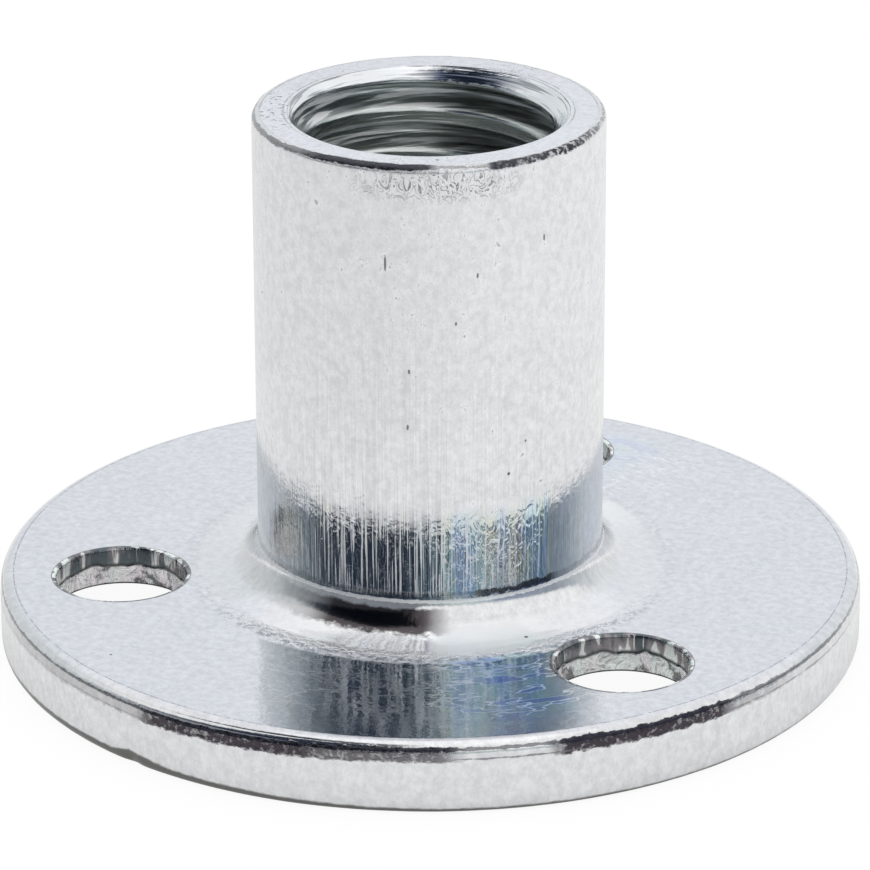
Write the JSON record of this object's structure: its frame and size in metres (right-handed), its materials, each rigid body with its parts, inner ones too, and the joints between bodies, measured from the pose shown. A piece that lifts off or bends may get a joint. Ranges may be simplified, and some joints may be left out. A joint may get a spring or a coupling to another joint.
{
  "type": "round-base tee nut",
  "caption": "One-piece zinc plated steel tee nut: a round flange with a ring of punched screw holes, pressed up into a barrel with an internal thread.",
  "frame": {"origin": "on the barrel's axis, in the plane that the flange's turned rim rests on", "axes": "+Z along the barrel towards its mouth, +Y through the centre of one screw hole"},
  "size_m": [0.03, 0.03, 0.0191],
  "materials": {
    "zinc_plate": "satin bright zinc plate"
  },
  "bodies": {
    "root": {"tee_nut": "zinc_plate"}
  },
  "joints": []
}
